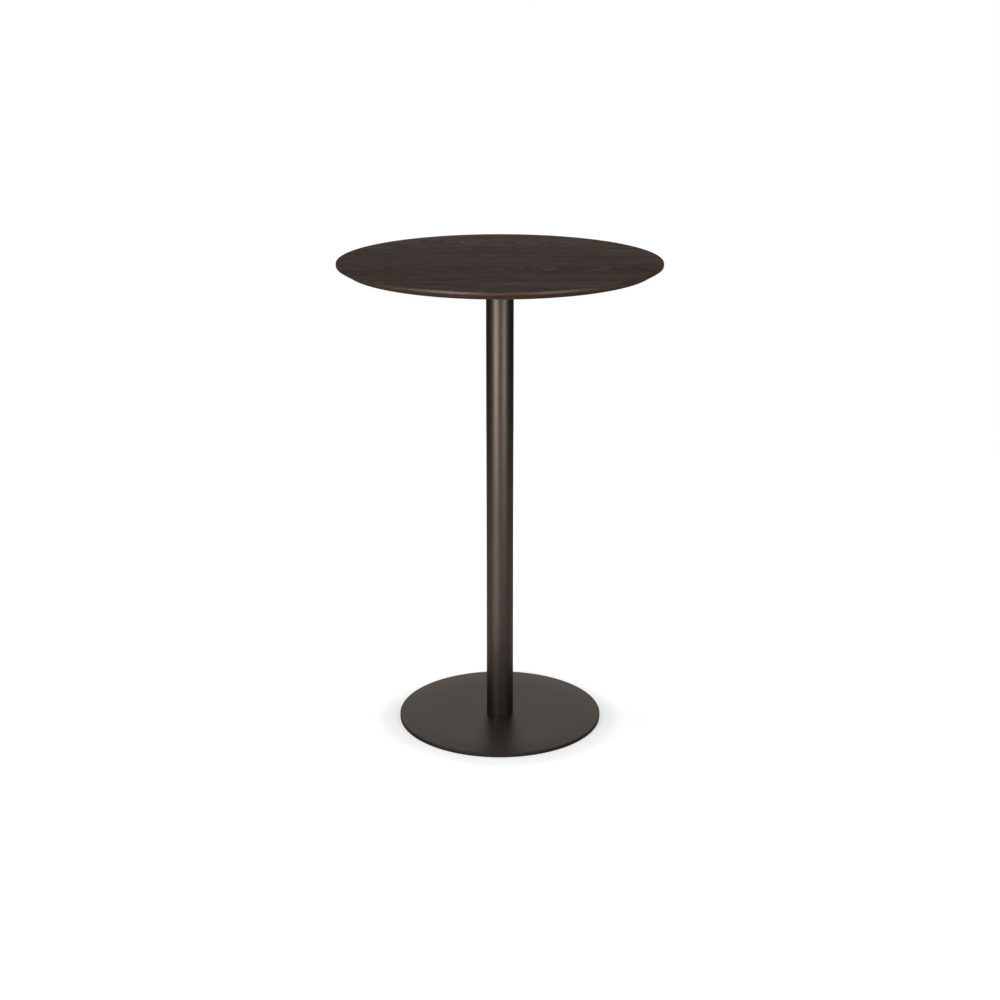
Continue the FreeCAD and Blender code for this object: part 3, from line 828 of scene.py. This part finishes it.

# Floor.
# A round of white paper that keeps the faint shade of the base. A white veil makes it look white to the
# camera, and from below it is see-through. The veil thins in a ring round the base, which is a painted
# shadow, and thickens behind the table, which is painted light that hides the shadow there.

FLOOR_RADIUS = 2.4
FLOOR_SEGMENTS = 96
FLOOR_COLOUR = (0.48, 0.48, 0.48)
# The veil's painted shadow in a ring round the base, and its painted light behind the table.
PAINTED_SHADOW_VEIL = 0.46
VEIL_NEAR = 0.575
VEIL_FAR = 0.80
VEIL_FAR_SPAN = (0.35, 1.3)
PAINTED_LIGHT_BEHIND = 0.19
PAINTED_LIGHT_BEHIND_SPAN = (0.0, 0.7)
VEIL_MIRRORED = 0.11
SHADE_GAP = 20 * MM
SHADE_WIDTH = 40 * MM


def floor_material():
    """Pale paper under a white veil, which a mirrored ray sees only faintly, with a painted shadow round
    the base and painted light behind it.
    """
    material, tree, shader = new_material("floor")
    tree.nodes.remove(shader)
    ray = add_node(tree, "LightPath")
    place = add_node(tree, "TexCoord").outputs["Object"]
    backwards = add_node(tree, "SeparateXYZ", {0: place}).outputs["Y"]
    away = add_node(tree, "VectorMath", {0: place}, operation="LENGTH").outputs["Value"]
    # Painted shadow: the veil is thinner in a ring round the base. Painted light: it is thicker behind the
    # table.
    start = BASE_RADIUS + SHADE_GAP
    close = span(tree, away, start, start + SHADE_WIDTH, PAINTED_SHADOW_VEIL, VEIL_NEAR, "SMOOTHSTEP")
    far = span(tree, away, *VEIL_FAR_SPAN, 0.0, VEIL_FAR - VEIL_NEAR)
    painted_light_behind = span(tree, maths(tree, "DIVIDE", backwards, away), *PAINTED_LIGHT_BEHIND_SPAN, 0.0, PAINTED_LIGHT_BEHIND)
    seen = maths(tree, "ADD", maths(tree, "ADD", close, far), painted_light_behind)
    mirrored = maths(tree, "MAXIMUM", ray.outputs["Is Glossy Ray"], ray.outputs["Is Transmission Ray"])
    veil_share = maths(tree, "MULTIPLY", ray.outputs["Is Camera Ray"], seen)
    veil_share = maths(tree, "MULTIPLY_ADD", mirrored, VEIL_MIRRORED, veil_share)
    paper = add_node(tree, "BsdfDiffuse", {"Color": opaque(FLOOR_COLOUR)})
    veil = add_node(tree, "Emission", {"Strength": veil_share})
    both = add_node(tree, "AddShader", {0: paper.outputs[0], 1: veil.outputs[0]})
    below = add_node(tree, "NewGeometry").outputs["Backfacing"]
    clear = add_node(tree, "BsdfTransparent")
    shown = add_node(tree, "MixShader", {0: below, 1: both.outputs[0], 2: clear.outputs[0]})
    feed(tree, tree.nodes["Material Output"], {"Surface": shown.outputs[0]})
    return material


floor = turned("floor", [(FLOOR_RADIUS, 0), (0, 0)], FLOOR_SEGMENTS)
floor.data.materials.append(floor_material())

# World and lamps.
# A dim grey room, plain white for the camera, two soft boxes in front, a wide one overhead and a weak
# one straight ahead. A spot lights the paper at the front left, which the column reflects.

ROOM_STRENGTH = 0.5
SIDE_STRENGTH = 0.065
BACK_STRENGTH = 0.69
BACK_SPAN = (0.84, 0.97)
CEILING_SPAN = (0.25, 0.6)
CEILING_SHARE = 0.8
WHITE = (1, 1, 1)
WARM_WHITE = (1.0, 0.96, 0.92)
# Azimuth 0 is in front and grows to the right, and each box faces its aim, a height on the table's axis.
SOFT_BOXES = {
    "left_box": dict(azimuth=-31.5, distance=2.5, height=0.78, aim=0.78, size=(1.1, 1.15), power=52),
    "right_box": dict(azimuth=35, distance=2.5, height=0.80, aim=0.80, size=(0.85, 1.1), power=29),
    "top_box": dict(azimuth=0, distance=0.2, height=3.2, aim=1.0, size=(2.0, 2.0), power=26),
    "front_box": dict(azimuth=0, distance=3.0, height=1.1, aim=1.0, size=(0.9, 1.0), power=3),
}
POOL_POWER = 1150
POOL_SPREAD = 15
POOL_EDGE = 0.3
POOL_SOFTNESS = 0.1
POOL_PLACE = (-0.9, -1.4, 2.2)
POOL_AIM = (-0.387, -0.578, 0)


def light_world():
    """White for the camera, white behind and above the table in reflections, and dim for other light."""
    world = bpy.data.worlds.new("studio")
    bpy.context.scene.world = world
    world.use_nodes = True
    tree = world.node_tree
    ray = add_node(tree, "LightPath")
    glossy = ray.outputs["Is Glossy Ray"]
    way = add_node(tree, "SeparateXYZ", {0: add_node(tree, "TexCoord").outputs["Generated"]})
    backwards = maths(tree, "DIVIDE", way.outputs["Y"], from_axis(tree, way))
    back = span(tree, backwards, *BACK_SPAN)
    above = span(tree, way.outputs["Z"], *CEILING_SPAN, 0.0, CEILING_SHARE)
    white = maths(tree, "MAXIMUM", back, above)
    mirrored = maths(tree, "MULTIPLY_ADD", white, BACK_STRENGTH - SIDE_STRENGTH, SIDE_STRENGTH)
    mirrored = maths(tree, "MULTIPLY", glossy, mirrored)
    room = maths(tree, "MULTIPLY", maths(tree, "SUBTRACT", 1.0, glossy), ROOM_STRENGTH)
    seen = maths(tree, "MAXIMUM", ray.outputs["Is Camera Ray"], ray.outputs["Is Transmission Ray"])
    feed(tree, tree.nodes["Background"], {
        "Strength": maths(tree, "MAXIMUM", seen, maths(tree, "ADD", mirrored, room)),
        "Color": blend_colour(tree, glossy, WHITE, WARM_WHITE),
    })


def aim_lamp(lamp, target):
    """Turns a lamp towards a point and keeps it out of the camera's sight."""
    lamp.rotation_euler = (Vector(target) - lamp.location).to_track_quat("-Z", "Y").to_euler()
    lamp.visible_camera = False


def soft_box(name, azimuth, distance, height, aim, size, power):
    """A soft box of a width and a height, at its place round the table."""
    light = bpy.data.lights.new(name, "AREA")
    light.shape = "RECTANGLE"
    light.size, light.size_y = size
    light.energy = power
    box = new_object(name, light)
    angle = math.radians(azimuth)
    box.location = (distance * math.sin(angle), -distance * math.cos(angle), height)
    aim_lamp(box, (0, 0, aim))


light_world()
for name, numbers in SOFT_BOXES.items():
    soft_box(name, **numbers)
pool = bpy.data.lights.new("floor_pool", "SPOT")
pool.energy = POOL_POWER
pool.spot_size = math.radians(POOL_SPREAD)
pool.spot_blend = POOL_EDGE
pool.shadow_soft_size = POOL_SOFTNESS
pool_lamp = new_object("floor_pool", pool)
pool_lamp.location = POOL_PLACE
aim_lamp(pool_lamp, POOL_AIM)

# Camera.
# It stands about 3.8 m in front and 1.73 m high, tipped down by 15 degrees, with the picture shifted a
# little. Its focal length and the axis of the table are given in pixels of the square picture.

CAMERA_DISTANCE = 3.830
CAMERA_HEIGHT = 1.7346
CAMERA_PITCH = 15.157
CAMERA_FOCAL_PIXELS = 1813.5
FRAME_PIXELS = 1000
AXIS_COLUMN = 499.9
AXIS_ROW = 420.0
SENSOR_WIDTH = 36

lens = bpy.data.cameras.new("camera")
lens.sensor_width = SENSOR_WIDTH
lens.lens = CAMERA_FOCAL_PIXELS / FRAME_PIXELS * SENSOR_WIDTH
lens.shift_x = (FRAME_PIXELS / 2 - AXIS_COLUMN) / FRAME_PIXELS
lens.shift_y = (AXIS_ROW - FRAME_PIXELS / 2) / FRAME_PIXELS
camera = new_object("camera", lens)
camera.location = (0, -CAMERA_DISTANCE, CAMERA_HEIGHT)
camera.rotation_euler = (math.radians(90 - CAMERA_PITCH), 0, 0)
bpy.context.scene.camera = camera
bpy.context.scene.view_settings.view_transform = "Standard"
